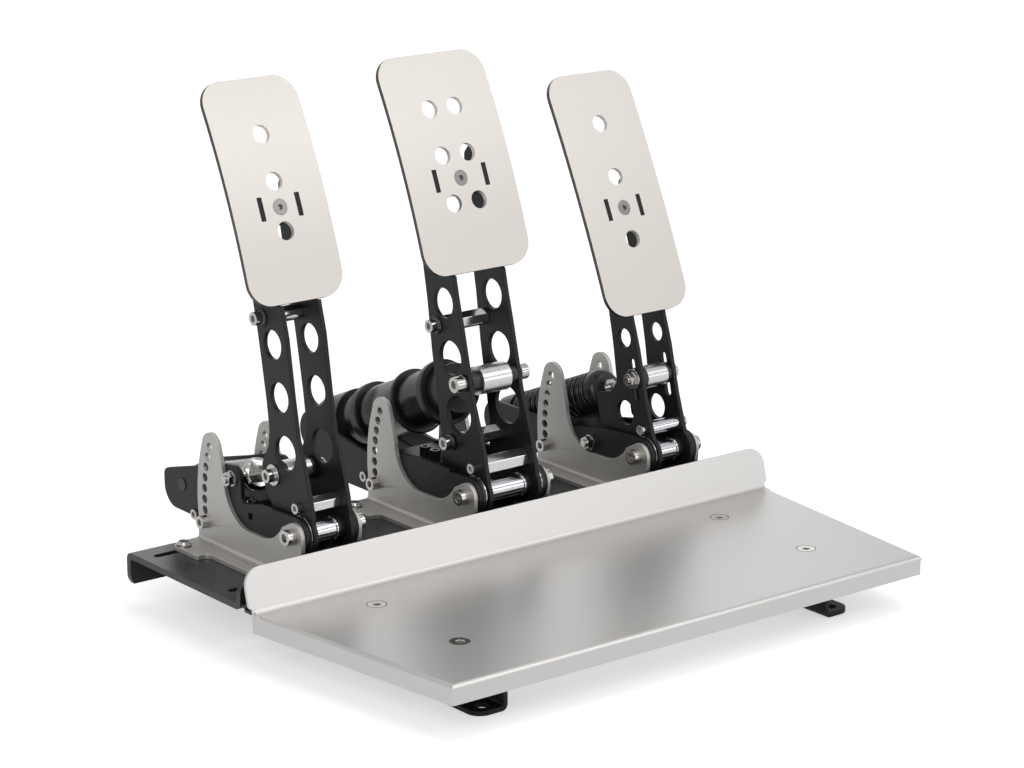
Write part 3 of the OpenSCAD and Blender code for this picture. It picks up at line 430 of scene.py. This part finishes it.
bm = bmesh.new()
black_washer(bm, "brake", 41.1, 99, plate=20.5, thick=1, r_out=5.7, r_in=4.2)
black_washer(bm, "brake", 26.4, 27, plate=20.5, thick=1.5, r_out=5.35, r_in=4.2)
black_washer(bm, "brake", 13.7, 67.5, plate=20.5, thick=1.5, r_out=5.5, r_in=5.1)
piece(bm, "brake_black_washers", dark_plastic_and_shade, "brake_pedal")


# Faces: bowed 3 mm stainless plates, blasted pale, with rounded edges, round holes, two
# slots for the levers' tabs and one countersunk screw. The cut outline is darkened with painted
# shade.
pale = finish("pale_blasted_steel", (0.62, 0.585, 0.55), 1, 0.45, spread=0.02, patch=18,
              grain=1500, depth=0.02, tint=0.03)
outline_shade = finish("outline_painted_shade", (0.10, 0.095, 0.09), 1, 0.4, spread=0.05, patch=200, grain=0,
             depth=0, tint=0.3)


def loop_of(bm, points):
    """A closed chain of edges in the plane of the face."""
    verts = [bm.verts.new((x * mm, 0, z * mm)) for x, z in points]
    return [bm.edges.new((verts[i - 1], verts[i])) for i in range(len(verts))]


def circle_points(x, z, r, sides=40):
    return [(x + r * math.cos(math.tau * k / sides), z + r * math.sin(math.tau * k / sides))
            for k in range(sides)]


def box_points(x0, x1, z0, z1, r, sides):
    """An outline with round corners."""
    points = []
    for cx, cz, a in ((x1 - r, z1 - r, 0), (x0 + r, z1 - r, 90), (x0 + r, z0 + r, 180),
                      (x1 - r, z0 + r, 270)):
        for k in range(sides + 1):
            t = math.radians(a + 90 * k / sides)
            points.append((cx + r * math.cos(t), cz + r * math.sin(t)))
    return points


def face_plate(pedal, screw, slope, radius, width, low, high, tab, holes):
    """A face about its screw: low and high are its ends, tab how far its slots are from it.

    It is cut flat, split into rows and bowed to its radius, then leant back by slope degrees.
    """
    thick = 3.0
    corner_r = 15
    hole_r = 5.65
    slot_half = 1.7
    slot_low, slot_high = -7, 7.4
    head_r, shank_r = 5.04, 2.7
    rim = 0.4
    row = 3
    bm = bmesh.new()
    edges = loop_of(bm, box_points(-width / 2, width / 2, low, high, corner_r, 14))
    for x, z in holes:
        edges += loop_of(bm, circle_points(x, z, hole_r))
    for side in (-1, 1):
        edges += loop_of(bm, box_points(side * tab - slot_half, side * tab + slot_half,
                                        slot_low, slot_high, 0.4, 3))
    edges += loop_of(bm, circle_points(0, 0, head_r))
    bmesh.ops.triangle_fill(bm, edges=edges, use_beauty=True, use_dissolve=False)
    grown = bmesh.ops.extrude_face_region(bm, geom=bm.faces[:])
    back = [v for v in grown["geom"] if isinstance(v, bmesh.types.BMVert)]
    bmesh.ops.translate(bm, vec=(0, thick * mm, 0), verts=back)
    for v in back:
        if math.hypot(v.co.x, v.co.z) < (head_r + 0.06) * mm:
            v.co.x *= shank_r / head_r
            v.co.z *= shank_r / head_r
    bmesh.ops.recalc_face_normals(bm, faces=bm.faces)
    # The outline's side walls take the second material, whose dark colour is painted shade.
    border = corner_r + 1
    for f in bm.faces:
        at = f.calc_center_median() / mm
        inside = abs(at.x) < width / 2 - border and low + border < at.z < high - border
        if abs(f.normal.y) < 0.5 and not inside:
            f.material_index = 1
    rims = [e for e in bm.edges if len(e.link_faces) == 2 and e.calc_face_angle() > 0.6
            and abs(e.verts[0].co.y - e.verts[1].co.y) < 1e-6]
    bmesh.ops.bevel(bm, geom=rims, offset=rim * mm, segments=3, profile=0.5, affect="EDGES",
                    material=-1, clamp_overlap=True)
    rows = int((high - low) / row)
    for k in range(1, rows):
        z = (low + (high - low) * k / rows) * mm
        bmesh.ops.bisect_plane(bm, geom=bm.verts[:] + bm.edges[:] + bm.faces[:], dist=1e-6,
                               plane_co=(0, 0, z), plane_no=(0, 0, 1))
    for v in bm.verts:
        r = radius * mm - v.co.y
        v.co.y = radius * mm - math.sqrt(r * r - v.co.z ** 2)
    place = (shift(pivot[pedal] + Vector((0, screw[0], screw[1])))
             @ Matrix.Rotation(math.radians(-slope), 4, "X"))
    bmesh.ops.transform(bm, matrix=place, verts=bm.verts)
    obj = piece(bm, f"{pedal}_face_plate", pale, f"{pedal}_pedal", 50)
    obj.data.materials.append(outline_shade)
    even = obj.modifiers.new("even", "WEIGHTED_NORMAL")
    even.weight = 90
    even.keep_sharp = True
    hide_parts(f"{pedal}_face")


face_plate("clutch", screw=(38.3, 189.7), slope=22.4, radius=550, width=67, low=-56.7, high=79.7,
           tab=13.25, holes=[(0, z) for z in (-14.4, 15.8, 44.8)])
face_plate("brake", screw=(41.9, 189.1), slope=22.7, radius=628, width=81, low=-58, high=80.4,
           tab=19, holes=[(x, z) for z in (-15, 15.3, 45.2) for x in (-9.6, 9.6)])
face_plate("throttle", screw=(41.3, 152.7), slope=24.9, radius=1200, width=67, low=-69.2,
           high=91.5, tab=13.25, holes=[(0, z) for z in (-20.9, 20.9, 56.9)])


# Trunnions, push rods, caps and rear seats: turned bars that swing between the levers, a
# threaded rod through each, the cup in front of each spring and the block behind it.
turned_steel = finish("turned_steel", (0.62, 0.63, 0.64), 1, 0.27, spread=0.06, patch=260,
                      grain=700, depth=0.03, tint=0.08)
anodised = finish("black_anodised", (0.018, 0.018, 0.02), 0.2, 0.3, spread=0.05, patch=70,
                  grain=600, depth=0.02, tint=0.15)
for pedal in pedals:
    dress(f"{pedal}_trunnion", turned_steel, edge=0)
    dress(f"{pedal}_rod", zinc, edge=0.2)
    dress(f"{pedal}_rear_seat", anodised, edge=0)
dress("clutch_cap", zinc, edge=0.5)
dress("brake_cap", anodised, edge=0.6)
dress("throttle_cap", anodised, edge=0.3)


# Coil springs: cold-wound wire with closed and ground end turns, silver on the clutch and
# gloss black on the throttle.
def along(pedal):
    """Places local Y along a push rod from its pin, and returns the rod's direction too."""
    pin = joint_at[f"{pedal}_rod_pivot"]
    tail = joint_at[f"{pedal}_seat_pivot"]
    lean = math.atan2(tail.z - pin.z, tail.y - pin.y)
    return (shift(pin) @ Matrix.Rotation(lean, 4, "X"),
            Vector((0, math.cos(lean), math.sin(lean))))


def coil(pedal, mat, radius, wire, start, end, turns):
    """A spring from start to end along its rod, with one closed turn at either end."""
    bm = bmesh.new()
    ring = bmesh.ops.create_circle(bm, cap_ends=False, radius=wire / 2 * mm, segments=14)["verts"]
    bmesh.ops.translate(bm, verts=ring, vec=(radius * mm, (start + wire / 2) * mm, 0))
    last = ring + list({e for v in ring for e in v.link_edges})
    closed = wire * 1.02
    open_rise = end - start - wire - 2 * closed
    for count, climb in ((1, closed), (turns - 2, open_rise), (1, closed)):
        steps = 28 * count
        out = bmesh.ops.spin(bm, geom=last, cent=(0, 0, 0), axis=(0, 1, 0),
                             dvec=(0, climb / steps * mm, 0), angle=-math.tau * count, steps=steps)
        last = out["geom_last"]
    bmesh.ops.holes_fill(bm, edges=[e for e in bm.edges if e.is_boundary])
    place, way = along(pedal)
    bmesh.ops.transform(bm, matrix=place, verts=bm.verts)
    obj = piece(bm, f"{pedal}_coil", mat, f"{pedal}_push_rod", 50)
    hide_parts(f"{pedal}_spring")
    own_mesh(obj)


wire_bright = finish("spring_wire_bright", (0.42, 0.42, 0.43), 1, 0.22, spread=0.05, patch=150,
                     grain=0, depth=0, tint=0.15)
wire_black = finish("spring_wire_black", (0.012, 0.012, 0.013), 0, 0.16, spread=0.04, patch=150,
                    grain=0, depth=0, tint=0.15)
coil("clutch", wire_bright, radius=8.5, wire=2.8, start=44.1, end=93.9, turns=11)
coil("throttle", wire_black, radius=12, wire=3.6, start=56.6, end=139.6, turns=15)


# Brake elastomers: three glossy rubber barrels on the rod, with a moulding seam round the
# middle one. Each is squeezed against the washer in front of it.
for name in ("brake_disc_front", "brake_disc_rear"):
    dress(name, anodised, edge=0.8)
rubber = finish("gloss_rubber", (0.010, 0.010, 0.011), 0, 0.22, spread=0.05, patch=60, grain=400,
                depth=0.03, tint=0.2)
place, way = along("brake")


def elastomer(label, body, start, end, seam=None):
    """A barrel from start to end along the brake's rod, with an optional seam groove."""
    bore_r = 5
    barrel_r = 18
    profile = [(start + 0.1, bore_r), (start + 0.1, barrel_r + 0.6), (start + 1.2, barrel_r + 0.3),
               (start + 3, barrel_r)]
    if seam:
        profile += [(seam - 0.5, barrel_r), (seam, barrel_r - 0.25), (seam + 0.5, barrel_r)]
    profile += [(end - 3, barrel_r), (end - 1.2, barrel_r - 0.1), (end - 0.4, barrel_r - 0.6),
                (end - 0.1, barrel_r - 1.6), (end - 0.1, bore_r), (start + 0.1, bore_r)]
    bm = bmesh.new()
    turned(bm, profile, place @ Matrix.Rotation(math.radians(90), 4, "Z"), 72)
    obj = piece(bm, f"brake_elastomer_{label}", rubber, body, 40)
    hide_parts("brake_elastomers")
    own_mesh(obj)


elastomer("front", "brake_push_rod", 52, 79.5)
elastomer("middle", "brake_front_disc", 83, 124, seam=110)
elastomer("rear", "brake_rear_disc", 131, 143.8)
